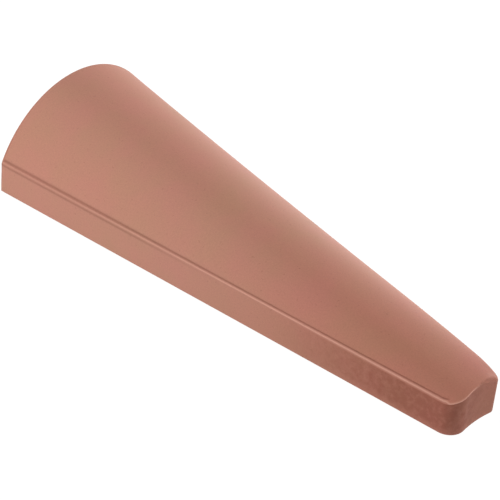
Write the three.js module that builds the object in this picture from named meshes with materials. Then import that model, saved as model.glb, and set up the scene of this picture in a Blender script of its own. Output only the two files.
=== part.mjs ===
// Door wedge: one solid tapered body, like half of a flattened cone laid on its flat side.
// Millimetres. +Z up from the underside, +Y from the narrow end to the wide end.
// The origin is on the underside, at the centre of the bounding box.
import * as THREE from "three";

// Plan, with the near wall straight and square to the wide end, and the far wall slanted
const LENGTH = 152.5; // to the far corner of the narrow end, before that corner is rounded
const WIDE_WIDTH = 58.5;
const NARROW_WIDTH = 16.75; // also to the corner before rounding

// Narrow end: slightly slanted and hollow, with a large round on the near corner and a small one on the far corner
const END_SLANT = 1.0; // the far corner stands out past the near one by this much
const END_HOLLOW = 0.42;
const NEAR_CORNER_RADIUS = 4.3;
const FAR_CORNER_SETBACK = 1.7;

// Upright walls and the arched top's rise above them
const EDGE_HEIGHT = 8.95;
const WIDE_RISE = 18.3;
const NARROW_RISE = 2.35;
const CROWN_SAG = 0.55; // how far the crown dips below a straight line at mid-length
const ARCH_OVERRUN = 2.3; // how far the arch runs past the far wall at the narrow end
const NARROW_FULLNESS = 2.3; // superellipse exponent of the arch at the narrow end
const FAR_CORNER_DROP = 0.75; // the top falls away by this much at the narrow end's far corner
const FAR_CORNER_REACH = 2.4;

// Mesh divisions
const ACROSS = 48;
const ALONG = 36;
const NEAR_CORNER_END = 14; // the division across where the near corner's round ends
const FAR_CORNER_START = 40; // and the one where the far corner's round starts

const mix = THREE.MathUtils.lerp;

// Outline of the narrow end in plan: x from the near wall, y from the wide end
const nearCornerEnd = new THREE.Vector2(NEAR_CORNER_RADIUS, LENGTH - END_SLANT);
const farCorner = new THREE.Vector2(NARROW_WIDTH, LENGTH);
const wideFarCorner = new THREE.Vector2(WIDE_WIDTH, 0);
const endDirection = farCorner.clone().sub(nearCornerEnd).normalize();
const farWallDirection = wideFarCorner.clone().sub(farCorner).normalize();
const farRoundStart = farCorner.clone().addScaledVector(endDirection, -FAR_CORNER_SETBACK);
const farRoundEnd = farCorner.clone().addScaledVector(farWallDirection, FAR_CORNER_SETBACK);
const endWallMiddle = nearCornerEnd.clone().lerp(farRoundStart, 0.5);

const nearRound = new THREE.EllipseCurve(
  NEAR_CORNER_RADIUS,
  nearCornerEnd.y - NEAR_CORNER_RADIUS,
  NEAR_CORNER_RADIUS,
  NEAR_CORNER_RADIUS,
  Math.PI,
  Math.PI / 2,
  true,
);
const endWall = new THREE.QuadraticBezierCurve(
  nearCornerEnd,
  new THREE.Vector2(endWallMiddle.x, endWallMiddle.y - 2 * END_HOLLOW),
  farRoundStart,
);
const farRound = new THREE.QuadraticBezierCurve(farRoundStart, farCorner, farRoundEnd);

function endPoint(column) {
  if (column <= NEAR_CORNER_END) {
    return nearRound.getPoint(column / NEAR_CORNER_END);
  }
  if (column <= FAR_CORNER_START) {
    return endWall.getPoint((column - NEAR_CORNER_END) / (FAR_CORNER_START - NEAR_CORNER_END));
  }
  return farRound.getPoint((column - FAR_CORNER_START) / (ACROSS - FAR_CORNER_START));
}

// Arch profiles over u from -1 at the near edge to 1 at the far edge, 0 at both and 1 at the crown
const arcRadius = ((WIDE_WIDTH / 2) ** 2 + WIDE_RISE ** 2) / (2 * WIDE_RISE);
function arcProfile(u) {
  const drop = arcRadius - Math.sqrt(arcRadius ** 2 - (u * WIDE_WIDTH / 2) ** 2);
  return 1 - drop / WIDE_RISE;
}
function fullProfile(u) {
  return (1 - Math.abs(u) ** NARROW_FULLNESS) ** (1 / NARROW_FULLNESS);
}

// Height of the top at x from the near wall, t of the way from the wide end to the narrow end
function topHeight(x, t) {
  const archWidth = mix(WIDE_WIDTH, NARROW_WIDTH, t) + ARCH_OVERRUN * t ** 3;
  const u = THREE.MathUtils.clamp(2 * x / archWidth - 1, -1, 1);
  const rise = mix(WIDE_RISE, NARROW_RISE, t) - 4 * CROWN_SAG * t * (1 - t);
  const toCorner = Math.hypot(x - NARROW_WIDTH, LENGTH * (1 - t));
  const drop = FAR_CORNER_DROP * Math.exp(-((toCorner / FAR_CORNER_REACH) ** 2));
  return EDGE_HEIGHT + rise * mix(arcProfile(u), fullProfile(u), t ** 1.5) - drop;
}

// The body is a box whose grid of vertices is drawn out to the plan outline and the arched top.
// Across the grid the lines gather near the two edges, where the arch is steepest.
function wedgeBody() {
  const shape = new THREE.BoxGeometry(1, 1, 1, ACROSS, ALONG, 1);
  const points = shape.getAttribute("position");
  for (let i = 0; i < points.count; i++) {
    const column = Math.round((points.getX(i) + 0.5) * ACROSS);
    const t = 0.5 - points.getY(i);
    const wideX = WIDE_WIDTH * (1 - Math.cos(Math.PI * column / ACROSS)) / 2;
    const end = endPoint(column);
    const x = mix(wideX, end.x, t);
    const y = end.y * t;
    const z = points.getZ(i) > 0 ? topHeight(x, y / LENGTH) : 0;
    points.setXYZ(i, x, -y, z);
  }
  shape.computeBoundingBox();
  const middle = shape.boundingBox.getCenter(new THREE.Vector3());
  shape.translate(-middle.x, -middle.y, 0);
  shape.computeVertexNormals();
  return shape;
}

const body = new THREE.Mesh(
  wedgeBody(),
  new THREE.MeshStandardMaterial({ color: 0xb08672, roughness: 0.85, metalness: 0 }),
);
body.name = "wedge_body";

const wedge = new THREE.Group();
wedge.name = "door_wedge";
wedge.add(body);

export default wedge;
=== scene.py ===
import math

import bpy
import numpy as np
from mathutils import Matrix, Vector


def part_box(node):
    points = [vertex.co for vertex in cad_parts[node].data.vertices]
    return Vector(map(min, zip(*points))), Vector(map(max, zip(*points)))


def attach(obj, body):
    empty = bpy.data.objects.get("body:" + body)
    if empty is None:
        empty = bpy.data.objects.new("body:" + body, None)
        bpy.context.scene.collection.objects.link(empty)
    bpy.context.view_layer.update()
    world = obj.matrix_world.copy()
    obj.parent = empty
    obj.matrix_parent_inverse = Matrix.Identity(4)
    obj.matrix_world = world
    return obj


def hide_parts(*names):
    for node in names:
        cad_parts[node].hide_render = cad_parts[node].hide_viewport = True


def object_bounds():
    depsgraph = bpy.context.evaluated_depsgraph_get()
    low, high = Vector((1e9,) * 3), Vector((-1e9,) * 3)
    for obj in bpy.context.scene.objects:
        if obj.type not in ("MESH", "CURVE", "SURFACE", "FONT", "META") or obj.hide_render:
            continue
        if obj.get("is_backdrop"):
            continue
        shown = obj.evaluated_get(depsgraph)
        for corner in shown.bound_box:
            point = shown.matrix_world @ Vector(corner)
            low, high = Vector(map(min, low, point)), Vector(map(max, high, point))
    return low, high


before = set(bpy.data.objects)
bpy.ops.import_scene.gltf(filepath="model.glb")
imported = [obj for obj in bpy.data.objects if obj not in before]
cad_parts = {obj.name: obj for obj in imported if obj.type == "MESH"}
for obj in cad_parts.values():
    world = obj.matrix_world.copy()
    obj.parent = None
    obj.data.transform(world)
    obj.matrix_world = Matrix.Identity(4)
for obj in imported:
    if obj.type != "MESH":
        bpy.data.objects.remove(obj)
cad_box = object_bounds()

MM = 0.001
low, high = (Vector(corner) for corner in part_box("wedge_body"))

# ---------------------------------------------------------------- body sizes, in millimetres
# x runs from the near wall to the far wall, y from the wide end to the narrow end, z up from the underside.
LENGTH = 152.5  # to the narrow end's far corner, before that corner is rounded
WIDE_WIDTH = 58.5
NARROW_WIDTH = 16.75
END_SLANT = 1.0  # the narrow end's far corner stands out past the near one by this much
END_HOLLOW = 0.42
NEAR_CORNER_RADIUS = 4.3
FAR_CORNER_SETBACK = 1.7
EDGE_HEIGHT = 8.95
WIDE_RISE = 18.3
NARROW_RISE = 2.35
CROWN_SAG = 0.55
ARCH_OVERRUN = 2.3  # how far the arch runs past the far wall at the narrow end
NARROW_FULLNESS = 2.3  # superellipse exponent of the arch at the narrow end
FULLNESS_GROWTH = 1.5  # exponent: the arc turns into the fuller arch slowly at first
FAR_CORNER_DROP = 0.75
FAR_CORNER_REACH = 2.4

# ---------------------------------------------------------------- worn edges and the moulded lip
BOTTOM_ROUND = 0.3
TOP_ROUND = 0.3
FAR_CORNER_ROUND = 1.05  # the top edge is worn rounder than elsewhere at the narrow end's far corner,
FAR_CORNER_ROUND_SPAN = (2.5, 8.0)  # between these distances from it

LIP_CENTRE = 0.55  # how far above the near wall's top edge the lip runs, measured over the surface
LIP_HALF_WIDTH = 0.3
LIP_SQUARENESS = 4  # exponent: its top is flatter, and its sides are steeper, than at 2
LIP_DEPTH_ABOVE = 0.2  # how deep the hollow above the lip is
LIP_DEPTH_BELOW = 0.13
LIP_SIDE_STEP = 0.1  # half the width over which one depth changes to the other, under the lip
HOLLOW_ABOVE_START = 1.05
HOLLOW_ABOVE_END = (1.75, 1.4)  # at the wide end and at the narrow end
HOLLOW_BELOW_SPAN = (0.5, 8.0)
LIP_FADE = (5.5, 11.0)  # the lip dies out between these places along the narrow end
LIP_TURN = (0.02, 0.4)  # where it comes down to the edge as it turns the near corner
LIP_FLASH = 0.5  # how far it stands out from the round of that corner

# ---------------------------------------------------------------- tones, as weights from 0 to 1: painted highlight on the lip, painted shade beside it and on the walls, a painted redder tint
# A pair gives the value at the wide end and at the narrow end. A span gives where a change starts and
# stops, in shares of the length unless its comment says millimetres.
TONE_SPAN = (0.1, 0.75)
# Painted highlight on the lip, as a paler colour.
LIP_HIGHLIGHT = (0.25, 0.9)
LIP_HIGHLIGHT_WIDTH = (0.17, 0.24)
# Painted shade in the hollows above and below the lip.
HOLLOW_SHADE_ABOVE = (0.66, 0.82)
HOLLOW_SHADE_ABOVE_CENTRE = (1.16, 1.02)
HOLLOW_SHADE_ABOVE_WIDTH = (0.46, 0.19)
HOLLOW_SHADE_BELOW = 0.6
HOLLOW_SHADE_BELOW_CENTRE = -0.3
HOLLOW_SHADE_BELOW_WIDTH = 0.36
HOLLOW_SHADE_BELOW_FADE = (0.25, 0.55)
HOLLOW_SHADE_END = (7.0, 3.0)  # millimetres short of the narrow end, where the painted shade on the top fades out

# Painted shade on the walls towards the narrow end, less at the foot and along the top edge.
WALL_SHADE_SPAN = (0.58, 0.95)
WALL_SHADE_LOST_AT_CORNER = 0.25
WALL_SHADE_CORNER = (0.3, 2.5)  # millimetres from the near wall
WALL_SHADE_LOST_ACROSS_END = 0.65
WALL_SHADE_END = (3.5, 15.5)  # millimetres from the near wall
WALL_SHADE_ON_BOTTOM_ROUND = 0.35
WALL_SHADE_AT_FOOT = 0.45
WALL_SHADE_FOOT = (0.6, 2.6)  # millimetres above the underside
WALL_SHADE_TOP = (0.0, 0.35)  # millimetres below the top edge
# A redder, darker tint painted towards the narrow end, standing in for the paler sheen the brighter light
# gives the wide end.
PAINTED_WARMTH_SPAN = (0.4, 1.0)

# ---------------------------------------------------------------- mesh divisions
ALONG = 210
ACROSS = 96
NEAR_ROUND_DIVISIONS = 26
FAR_ROUND_DIVISIONS = 12
BOTTOM_TURNS = 6
WALL_ROWS = 12
EVEN_SHARE = 0.35  # of the wide end's spacing; the rest gathers the points near its two corners
EDGE_DROPS = [0.09, 0.18, 0.28, 0.4, 0.55, 0.75, 1.05, 1.5, 2.2]
TOP_INSETS = [0.0, 0.01, 0.03, 0.06, 0.1, 0.14, 0.18, 0.23, 0.28]
TOP_INSETS += [0.34, 0.4, 0.47, 0.55, 0.64, 0.74, 0.84, 0.94, 1.05]


# ---------------------------------------------------------------- helpers
def between(pair, share):
    """The value a share of the way from the first of a pair to the second."""
    return pair[0] + (pair[1] - pair[0]) * share


def smooth_step(x, start, stop):
    t = np.clip((x - start) / (stop - start), 0, 1)
    return t * t * (3 - 2 * t)


def hump(x, width, power=2):
    """1 at x = 0, falling away on both sides."""
    return np.exp(-((x / width) ** power))


def unit(v):
    return v / np.linalg.norm(v)


# ---------------------------------------------------------------- shape of the top
def arc_profile(u):
    """Circular segment over u from -1 to 1: 0 at both edges and 1 at the crown."""
    radius = ((WIDE_WIDTH / 2) ** 2 + WIDE_RISE**2) / (2 * WIDE_RISE)
    return 1 - (radius - np.sqrt(radius**2 - (u * WIDE_WIDTH / 2) ** 2)) / WIDE_RISE


def full_profile(u):
    return (1 - np.abs(u) ** NARROW_FULLNESS) ** (1 / NARROW_FULLNESS)


def top_height(x, y):
    t = np.clip(y / LENGTH, 0, 1)
    arch_width = between((WIDE_WIDTH, NARROW_WIDTH), t) + ARCH_OVERRUN * t**3
    u = np.clip(2 * x / arch_width - 1, -1, 1)
    rise = between((WIDE_RISE, NARROW_RISE), t) - 4 * CROWN_SAG * t * (1 - t)
    to_corner = np.hypot(x - NARROW_WIDTH, LENGTH * (1 - t))
    drop = FAR_CORNER_DROP * hump(to_corner, FAR_CORNER_REACH)
    return EDGE_HEIGHT + rise * between((arc_profile(u), full_profile(u)), t**FULLNESS_GROWTH) - drop


# ---------------------------------------------------------------- plan outline
def narrow_end():
    """The narrow end's outline: the near corner's round, the hollow wall and the far corner's round."""
    near_end = np.array([NEAR_CORNER_RADIUS, LENGTH - END_SLANT])
    far_corner = np.array([NARROW_WIDTH, LENGTH])
    end_run = unit(far_corner - near_end)
    far_run = unit(np.array([WIDE_WIDTH, 0]) - far_corner)

    turn = np.linspace(0, math.pi / 2, NEAR_ROUND_DIVISIONS + 1)
    near_round = np.column_stack(
        [
            NEAR_CORNER_RADIUS * (1 - np.cos(turn)),
            near_end[1] - NEAR_CORNER_RADIUS * (1 - np.sin(turn)),
        ]
    )

    wall_end = far_corner - FAR_CORNER_SETBACK * end_run
    wall_divisions = ACROSS - NEAR_ROUND_DIVISIONS - FAR_ROUND_DIVISIONS
    share = np.linspace(0, 1, wall_divisions + 1)[:, None]
    wall = between((near_end, wall_end), share)
    wall -= np.array([0, 4 * END_HOLLOW]) * share * (1 - share)

    far_turn = math.acos(float(end_run @ far_run))
    radius = FAR_CORNER_SETBACK / math.tan(far_turn / 2)
    to_inside = np.array([end_run[1], -end_run[0]])
    turn = np.linspace(0, far_turn, FAR_ROUND_DIVISIONS + 1)[:, None]
    far_round = wall_end + radius * (to_inside * (1 - np.cos(turn)) + end_run * np.sin(turn))
    return np.concatenate([near_round, wall[1:], far_round[1:]])


def plan_outline():
    """One closed loop of points: up the near side, across the narrow end, back, across the wide end."""
    end = narrow_end()
    share = np.linspace(0, 1, ALONG + 1)[:, None]
    near = end[0] * share
    wide_far_corner = np.array([WIDE_WIDTH, 0])
    far = between((end[-1], wide_far_corner), share)
    even = np.linspace(0, 1, ACROSS + 1)[:, None]
    gathered = (1 - np.cos(math.pi * even)) / 2
    wide = wide_far_corner * (1 - between((gathered, even), EVEN_SHARE))
    return np.concatenate([near[:-1], end[:-1], far[:-1], wide[:-1]])


def inward_offsets(loop):
    """Mitred inward steps, so that moving by d keeps every side d from where it was."""
    before = loop - np.roll(loop, 1, axis=0)
    after = np.roll(loop, -1, axis=0) - loop
    before /= np.linalg.norm(before, axis=1, keepdims=True)
    after /= np.linalg.norm(after, axis=1, keepdims=True)
    left = np.column_stack([before[:, 1], -before[:, 0]])
    right = np.column_stack([after[:, 1], -after[:, 0]])
    return (left + right) / (1 + np.sum(left * right, axis=1, keepdims=True))


outline = plan_outline()
inward = inward_offsets(outline)
COUNT = len(outline)
END_START = ALONG
FAR_START = END_START + ACROSS
WIDE_START = FAR_START + ALONG
STRAIGHT_SIDES = ((0, END_START), (FAR_START, WIDE_START), (WIDE_START, COUNT))
across = outline[:, 0]
along = np.clip(outline[:, 1] / LENGTH, 0, 1)


def side_indices(start, stop):
    """The indices of one side of a ring, with both its corners."""
    return np.arange(start, stop + 1) % COUNT


def moved_in(inset):
    """The outline moved in by an inset. Each straight side's points stay spread between its new corners."""
    ring = outline + inward * np.broadcast_to(inset, COUNT)[:, None]
    for start, stop in STRAIGHT_SIDES:
        indices = side_indices(start, stop)
        old = outline[indices] - outline[indices[0]]
        new = ring[indices]
        run = unit(old[-1])
        share = old @ run / np.linalg.norm(old[-1])
        travelled = (new - new[0]) @ run
        slip = share * travelled[-1] - travelled
        ring[indices] = new + slip[:, None] * run
    return ring


# ---------------------------------------------------------------- the lip and the worn edges
# The lip is on the near side, turns the rounded near corner and dies out along the narrow end's top edge.
lip = np.zeros(COUNT)
lip[: END_START + 1] = 1
lip[END_START:FAR_START] = 1 - smooth_step(across[END_START:FAR_START], *LIP_FADE)
on_near_side = 1 - smooth_step(across, *LIP_TURN)
lip_centre = LIP_CENTRE * on_near_side

# Round the near corner the lip stands out, closer to where the two sides would meet.
flash = np.zeros(COUNT)
corner_turn = np.linspace(0, math.pi / 2, NEAR_ROUND_DIVISIONS + 1)
flash[END_START : END_START + len(corner_turn)] = LIP_FLASH * np.sin(2 * corner_turn) ** 2

ridge = moved_in(-flash)
ridge_z = top_height(ridge[:, 0], ridge[:, 1])

to_far_corner = np.hypot(across - NARROW_WIDTH, outline[:, 1] - LENGTH)
top_round = between((FAR_CORNER_ROUND, TOP_ROUND), smooth_step(to_far_corner, *FAR_CORNER_ROUND_SPAN))


def worn_away(distance):
    """How much the round of the top edge takes off, at a distance from the edge. The lip has no round."""
    inside = np.clip(top_round - distance, 0, top_round)
    return (1 - lip) * (top_round - np.sqrt(top_round**2 - inside**2))


# The lip's section. s is the distance over the surface above the near wall's top edge, below 0 on the wall.
def sunk(s):
    """How far the surface beside the lip lies back from it."""
    below = LIP_DEPTH_BELOW * (1 - smooth_step(-s, *HOLLOW_BELOW_SPAN))
    above_end = between(HOLLOW_ABOVE_END, along)
    above = LIP_DEPTH_ABOVE * on_near_side * (1 - smooth_step(s, HOLLOW_ABOVE_START, above_end))
    is_above = smooth_step(s, lip_centre - LIP_SIDE_STEP, lip_centre + LIP_SIDE_STEP)
    beside = 1 - hump(s - lip_centre, LIP_HALF_WIDTH, LIP_SQUARENESS)
    return lip * between((below, above), is_above) * beside


def painted_lip_highlight(s):
    """How much painted highlight lightens the lip."""
    weight = between(LIP_HIGHLIGHT, smooth_step(along, *TONE_SPAN))
    return lip * weight * hump(s - lip_centre, between(LIP_HIGHLIGHT_WIDTH, along))


def hollow_shade(s, share):
    """How much painted shade darkens the two hollows, a share of the way along. The lower one fades out
    about half-way.
    """
    above_width = between(HOLLOW_SHADE_ABOVE_WIDTH, smooth_step(share, *TONE_SPAN))
    above = between(HOLLOW_SHADE_ABOVE, share) * hump(s - between(HOLLOW_SHADE_ABOVE_CENTRE, share), above_width)
    below = HOLLOW_SHADE_BELOW * hump(s - HOLLOW_SHADE_BELOW_CENTRE, HOLLOW_SHADE_BELOW_WIDTH)
    return above + below * (1 - smooth_step(share, *HOLLOW_SHADE_BELOW_FADE))


# ---------------------------------------------------------------- rings of the skin, from the underside up
# Painted shade darkens the walls towards the narrow end, most on the near wall and least at the far corner.
wall_shade_mask = smooth_step(along, *WALL_SHADE_SPAN)
wall_shade_mask *= 1 - WALL_SHADE_LOST_AT_CORNER * smooth_step(across, *WALL_SHADE_CORNER)
wall_shade_mask *= 1 - WALL_SHADE_LOST_ACROSS_END * smooth_step(across, *WALL_SHADE_END)
CLEAN = np.zeros(COUNT)


def ring_of(plan, z, pale=CLEAN, dark=CLEAN, wall_shade=CLEAN):
    """A ring's points, and beside each the three tones at it."""
    return np.column_stack([plan, np.broadcast_to(z, COUNT), pale, dark, wall_shade])


def bottom_rings():
    """The round of the bottom edge, from the flat underside out to the wall."""
    for turn in np.linspace(0, math.pi / 2, BOTTOM_TURNS + 1):
        inset = BOTTOM_ROUND * (1 - math.sin(turn))
        z = BOTTOM_ROUND * (1 - math.cos(turn))
        yield ring_of(moved_in(inset), z, wall_shade=WALL_SHADE_ON_BOTTOM_ROUND * wall_shade_mask)


def wall_plan(drop):
    """The wall's outline at a depth below the ridge."""
    flash_here = flash * hump(drop, LIP_HALF_WIDTH, LIP_SQUARENESS)
    return moved_in(sunk(-drop) + worn_away(drop) - flash_here)


def wall_rings():
    wall_top = ridge_z - EDGE_DROPS[-1]
    for share in np.linspace(0, 1, WALL_ROWS + 2)[1:-1]:
        z = between((BOTTOM_ROUND, wall_top), share)
        wall_shade = wall_shade_mask * between((WALL_SHADE_AT_FOOT, 1), smooth_step(z, *WALL_SHADE_FOOT))
        yield ring_of(wall_plan(ridge_z - z), z, wall_shade=wall_shade)
    for drop in reversed(EDGE_DROPS):
        dark = lip * on_near_side * hollow_shade(-drop, along)
        wall_shade = wall_shade_mask * smooth_step(drop, *WALL_SHADE_TOP)
        yield ring_of(wall_plan(drop), ridge_z - drop, painted_lip_highlight(-drop), dark, wall_shade)


def top_rings():
    for inset in TOP_INSETS:
        reach = inset - flash * (1 - smooth_step(inset, 0, TOP_INSETS[-1]))
        plan = moved_in(reach)
        z = top_height(plan[:, 0], plan[:, 1])
        s = np.hypot(inset, z - ridge_z)
        dark = lip * on_near_side * hollow_shade(s, along)
        yield ring_of(moved_in(reach + sunk(s)), z - worn_away(inset), painted_lip_highlight(s), dark)


# ---------------------------------------------------------------- grids that close the top and the underside
def ruled_grid(ring):
    """The plan inside a ring, ruled from the wide end to the narrow end."""
    from_points = ring[side_indices(WIDE_START, COUNT)[::-1]]
    to_points = ring[side_indices(END_START, FAR_START)]
    share = np.linspace(0, 1, ALONG + 1)[:, None, None]
    return between((from_points[None], to_points[None]), share)


def top_grid():
    plan = ruled_grid(moved_in(TOP_INSETS[-1]))
    x, y = plan[..., 0], plan[..., 1]
    z = top_height(x, y)
    # Painted shade from the hollow above the lip, carried on over the top.
    not_at_end = 1 - smooth_step(y, LENGTH - HOLLOW_SHADE_END[0], LENGTH - HOLLOW_SHADE_END[1])
    dark = not_at_end * hollow_shade(np.hypot(x, z - EDGE_HEIGHT), y / LENGTH)
    clean = np.zeros_like(z)
    return np.dstack([plan, z, clean, dark, clean])


def underside_grid(ring):
    plan = ruled_grid(ring)
    return np.dstack([plan, np.zeros((*plan.shape[:2], 4))])


def grid_faces(ring_start, inside_start, faces_up):
    """The faces of a grid whose border is an existing ring and whose inside is new points."""
    ids = np.empty((ALONG + 1, ACROSS + 1), dtype=int)
    ids[:, 0] = ring_start + side_indices(0, END_START)
    ids[:, -1] = ring_start + side_indices(FAR_START, WIDE_START)[::-1]
    ids[-1] = ring_start + side_indices(END_START, FAR_START)
    ids[0] = ring_start + side_indices(WIDE_START, COUNT)[::-1]
    inside_count = (ALONG - 1) * (ACROSS - 1)
    ids[1:-1, 1:-1] = inside_start + np.arange(inside_count).reshape(ALONG - 1, ACROSS - 1)
    quads = np.stack([ids[:-1, :-1], ids[1:, :-1], ids[1:, 1:], ids[:-1, 1:]], axis=-1).reshape(-1, 4)
    return quads if faces_up else quads[:, ::-1]


def ring_faces(lower_start):
    """The faces between a ring and the one above it."""
    lower = lower_start + np.arange(COUNT)
    lower_next = lower_start + side_indices(1, COUNT)
    return np.column_stack([lower, lower_next, lower_next + COUNT, lower + COUNT])


def build_skin():
    rings = [*bottom_rings(), *wall_rings(), *top_rings()]
    top_inside = top_grid()[1:-1, 1:-1].reshape(-1, 6)
    underside_inside = underside_grid(rings[0][:, :2])[1:-1, 1:-1].reshape(-1, 6)
    rows = np.concatenate([*rings, top_inside, underside_inside])

    last_ring = (len(rings) - 1) * COUNT
    top_start = len(rings) * COUNT
    faces = [ring_faces(k * COUNT) for k in range(len(rings) - 1)]
    faces.append(grid_faces(last_ring, top_start, faces_up=True))
    faces.append(grid_faces(0, top_start + len(top_inside), faces_up=False))

    x, y, z, pale, dark, wall_shade = rows.T
    places = np.column_stack([low.x + x * MM, high.y - y * MM, low.z + z * MM])
    mesh = bpy.data.meshes.new("wedge_skin")
    mesh.from_pydata(places.tolist(), [], np.concatenate(faces).tolist())
    # Painted highlight, painted shade and the painted redder tint, kept as attributes for the material.
    tones = {"lip_highlight": pale, "crease_shade": dark, "wall_shade": wall_shade, "painted_warmth": smooth_step(y / LENGTH, *PAINTED_WARMTH_SPAN)}
    for name, values in tones.items():
        mesh.attributes.new(name, "FLOAT", "POINT").data.foreach_set("value", values.astype(np.float32))
    mesh.validate()
    mesh.update()
    for polygon in mesh.polygons:
        polygon.use_smooth = True

    skin = bpy.data.objects.new("wedge_skin", mesh)
    bpy.context.scene.collection.objects.link(skin)
    return skin


skin = build_skin()
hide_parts("wedge_body")
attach(skin, "root")

# ---------------------------------------------------------------- material
# Each noise has a scale per metre, a detail and a roughness.
CLOUD_NOISE = (60.0, 3.0, 0.55)
CLOUD_COLOURS = [(0.32, (0.425, 0.202, 0.13)), (0.68, (0.455, 0.19, 0.138))]
GRAIN_NOISE = (2600.0, 3.0, 0.65)
GRAIN_SHADES = [(0.3, (0.93, 0.92, 0.92)), (0.7, (1.06, 1.06, 1.06))]
SPECK_NOISE = (1500.0, 2.0, 0.5)
SPECK_EDGE = [(0.66, (0, 0, 0)), (0.76, (1, 1, 1))]
SPECK_TINT = (0.84, 0.8, 0.78)
BLOTCH_NOISE = (620.0, 5.0, 0.62)
BLOTCH_RANGE = (0.35, 0.65)  # this range of the blotches' noise
BLOTCH_STRENGTH = (0.6, 1.3)  # multiplies the painted wall shade by this
# Multiplying tints: a painted redder tint towards the narrow end, painted shade on the walls and painted
# shade in the hollows by the lip.
TINTS = {"painted_warmth": (1.0, 0.84, 0.81), "wall_shade": (0.7, 0.56, 0.5), "crease_shade": (0.55, 0.45, 0.41)}
# The paler colour of the lip's painted highlight.
LIP_HIGHLIGHT_COLOUR = (0.66, 0.33, 0.25)
ROUGHNESS = (0.62, 0.82)
SPECULAR_LEVEL = 0.4
BUMP_STRENGTH = 0.25
BUMP_DISTANCE = 0.12 * MM


def node(tree, kind, **values):
    made = tree.nodes.new(kind)
    for name, value in values.items():
        setattr(made, name, value)
    return made


def noise(tree, coordinates, scale, detail, roughness):
    made = node(tree, "ShaderNodeTexNoise")
    made.inputs["Scale"].default_value = scale
    made.inputs["Detail"].default_value = detail
    made.inputs["Roughness"].default_value = roughness
    tree.links.new(coordinates, made.inputs["Vector"])
    return made.outputs["Fac"]


def ramp(tree, value, stops):
    made = node(tree, "ShaderNodeValToRGB")
    tree.links.new(value, made.inputs["Fac"])
    for element, (position, colour) in zip(made.color_ramp.elements, stops):
        element.position = position
        element.color = (*colour, 1)
    return made.outputs["Color"]


def remapped(tree, value, to_range, from_range=(0.0, 1.0)):
    made = node(tree, "ShaderNodeMapRange")
    tree.links.new(value, made.inputs["Value"])
    made.inputs["From Min"].default_value, made.inputs["From Max"].default_value = from_range
    made.inputs["To Min"].default_value, made.inputs["To Max"].default_value = to_range
    return made.outputs["Result"]


def mixed(tree, a, b, factor, mode="MIX"):
    """Socket a mixed with b. Here b is a socket or a plain colour, and factor a socket or a number."""
    made = node(tree, "ShaderNodeMix", data_type="RGBA", blend_type=mode)
    sockets = {(socket.name, socket.type): socket for socket in made.inputs}
    tree.links.new(a, sockets["A", "RGBA"])
    if isinstance(b, tuple):
        sockets["B", "RGBA"].default_value = (*b, 1)
    else:
        tree.links.new(b, sockets["B", "RGBA"])
    if isinstance(factor, float):
        sockets["Factor", "VALUE"].default_value = factor
    else:
        tree.links.new(factor, sockets["Factor", "VALUE"])
    return next(socket for socket in made.outputs if socket.type == "RGBA")


def tinted(tree, colour, tint, weight):
    """The colour multiplied by a tint, where the weight is high."""
    return mixed(tree, colour, mixed(tree, colour, tint, 1.0, "MULTIPLY"), weight)


def tone(tree, name):
    return node(tree, "ShaderNodeAttribute", attribute_name=name).outputs["Fac"]


def product(tree, a, b):
    made = node(tree, "ShaderNodeMath", operation="MULTIPLY")
    tree.links.new(a, made.inputs[0])
    tree.links.new(b, made.inputs[1])
    return made.outputs[0]


def body_colour(tree, coordinates, grain):
    clouds = ramp(tree, noise(tree, coordinates, *CLOUD_NOISE), CLOUD_COLOURS)
    colour = mixed(tree, clouds, ramp(tree, grain, GRAIN_SHADES), 1.0, "MULTIPLY")

    specks = ramp(tree, noise(tree, coordinates, *SPECK_NOISE), SPECK_EDGE)
    speck_weight = node(tree, "ShaderNodeRGBToBW")
    tree.links.new(specks, speck_weight.inputs[0])
    colour = tinted(tree, colour, SPECK_TINT, speck_weight.outputs[0])

    blotches = noise(tree, coordinates, *BLOTCH_NOISE)
    # Painted shade on the walls, broken up by the blotches.
    patchy_shade = product(tree, tone(tree, "wall_shade"), remapped(tree, blotches, BLOTCH_STRENGTH, BLOTCH_RANGE))
    # Painted redder tint towards the narrow end, where less light gives less sheen.
    colour = tinted(tree, colour, TINTS["painted_warmth"], tone(tree, "painted_warmth"))
    colour = tinted(tree, colour, TINTS["wall_shade"], patchy_shade)
    # Painted shade in the hollows beside the lip.
    colour = tinted(tree, colour, TINTS["crease_shade"], tone(tree, "crease_shade"))
    # Painted highlight on the lip.
    return mixed(tree, colour, LIP_HIGHLIGHT_COLOUR, tone(tree, "lip_highlight"))


def body_material():
    material = bpy.data.materials.new("terracotta_matte")
    material.use_nodes = True
    tree = material.node_tree
    shader = tree.nodes["Principled BSDF"]
    shader.inputs["Specular IOR Level"].default_value = SPECULAR_LEVEL
    coordinates = node(tree, "ShaderNodeTexCoord").outputs["Object"]
    grain = noise(tree, coordinates, *GRAIN_NOISE)
    tree.links.new(body_colour(tree, coordinates, grain), shader.inputs["Base Color"])
    tree.links.new(remapped(tree, grain, ROUGHNESS), shader.inputs["Roughness"])

    bump = node(tree, "ShaderNodeBump")
    bump.inputs["Strength"].default_value = BUMP_STRENGTH
    bump.inputs["Distance"].default_value = BUMP_DISTANCE
    tree.links.new(grain, bump.inputs["Height"])
    tree.links.new(bump.outputs["Normal"], shader.inputs["Normal"])
    return material


skin.data.materials.append(body_material())

# ---------------------------------------------------------------- floor, light and camera
FLOOR_HALF_SIZE = 8.0
FLOOR_GAP = 0.2 * MM
FLOOR_ALBEDO = 0.1
FLOOR_GLOW = 0.97  # the floor gives off light by itself, so that it shows hardly any shadow
WORLD_STRENGTH = 0.03

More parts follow.
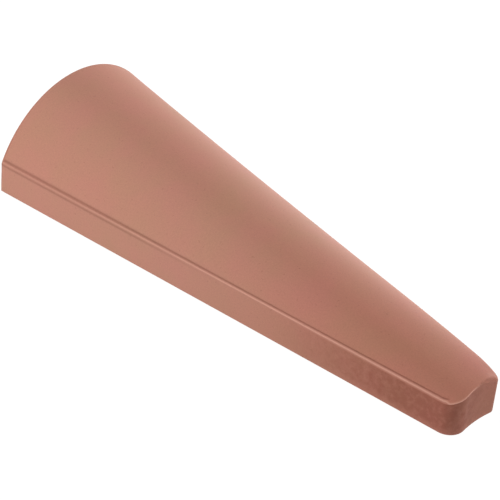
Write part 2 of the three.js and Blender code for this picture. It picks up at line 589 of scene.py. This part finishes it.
# Soft panels that face the object: the place from its middle in millimetres, the power in watts,
# and the width and height in metres
PANELS = {
    "key_over_wide_end": ((-80, 110, 215), 0.29, 0.14, 0.14),
    "left_low": ((-222, 96, 40), 0.235, 0.16, 0.06),
    "far_side_low": ((414, 20, 62), 1.44, 0.3, 0.08),
    "right_low": ((290, -300, 60), 0.42, 0.3, 0.08),
    "over_narrow_end": ((0, -95, 195), 0.195, 0.12, 0.12),
    "behind_wide_end": ((60, 240, 70), 0.16, 0.16, 0.06),
}

CAMERA_LENS = 122.76
CAMERA_SENSOR = 36.0
CAMERA_PLACE = (-0.27593, -0.29589, 0.25596)  # metres from the wide end's near bottom corner
CAMERA_CLIP_START = 0.01
CAMERA_FORWARD = (0.662, 0.499, -0.559)
CAMERA_RIGHT = (0.637, -0.768, 0.069)


def build_floor():
    h = FLOOR_HALF_SIZE
    z = low.z - FLOOR_GAP
    mesh = bpy.data.meshes.new("floor")
    mesh.from_pydata([(-h, -h, z), (h, -h, z), (h, h, z), (-h, h, z)], [], [(0, 1, 2, 3)])
    material = bpy.data.materials.new("floor_white")
    material.use_nodes = True
    shader = material.node_tree.nodes["Principled BSDF"]
    shader.inputs["Base Color"].default_value = (FLOOR_ALBEDO, FLOOR_ALBEDO, FLOOR_ALBEDO, 1)
    shader.inputs["Roughness"].default_value = 1
    shader.inputs["Specular IOR Level"].default_value = 0
    shader.inputs["Emission Color"].default_value = (1, 1, 1, 1)
    shader.inputs["Emission Strength"].default_value = FLOOR_GLOW
    mesh.materials.append(material)
    floor = bpy.data.objects.new("floor", mesh)
    bpy.context.scene.collection.objects.link(floor)
    return floor


def add_panel(name, place, power, width, height):
    light = bpy.data.lights.new(name, "AREA")
    light.shape = "RECTANGLE"
    light.size = width
    light.size_y = height
    light.energy = power
    middle = (low + high) / 2
    panel = bpy.data.objects.new(name, light)
    panel.location = middle + Vector(place) * MM
    panel.rotation_euler = (middle - panel.location).to_track_quat("-Z", "Y").to_euler()
    bpy.context.scene.collection.objects.link(panel)


def build_world():
    world = bpy.data.worlds.new("studio")
    world.use_nodes = True
    background = world.node_tree.nodes["Background"]
    background.inputs["Color"].default_value = (1, 1, 1, 1)
    background.inputs["Strength"].default_value = WORLD_STRENGTH
    return world


def build_camera():
    data = bpy.data.cameras.new("camera")
    data.sensor_width = CAMERA_SENSOR
    data.lens = CAMERA_LENS
    data.clip_start = CAMERA_CLIP_START
    forward = Vector(CAMERA_FORWARD).normalized()
    right = Vector(CAMERA_RIGHT)
    right = (right - right.dot(forward) * forward).normalized()
    up = right.cross(forward)
    turn = Matrix((right, up, -forward)).transposed().to_4x4()
    x, y, z = CAMERA_PLACE
    place = Vector((low.x + x, high.y + y, low.z + z))
    camera = bpy.data.objects.new("camera", data)
    camera.matrix_world = Matrix.Translation(place) @ turn
    bpy.context.scene.collection.objects.link(camera)
    return camera


floor = build_floor()
floor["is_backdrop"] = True
for name, settings in PANELS.items():
    add_panel(name, *settings)
bpy.context.scene.world = build_world()
bpy.context.scene.camera = build_camera()
bpy.context.scene.view_settings.view_transform = "Standard"


plain = lambda box: [[float(v) for v in corner] for corner in box]
{"cad": plain(cad_box), "visual": plain(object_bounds())}
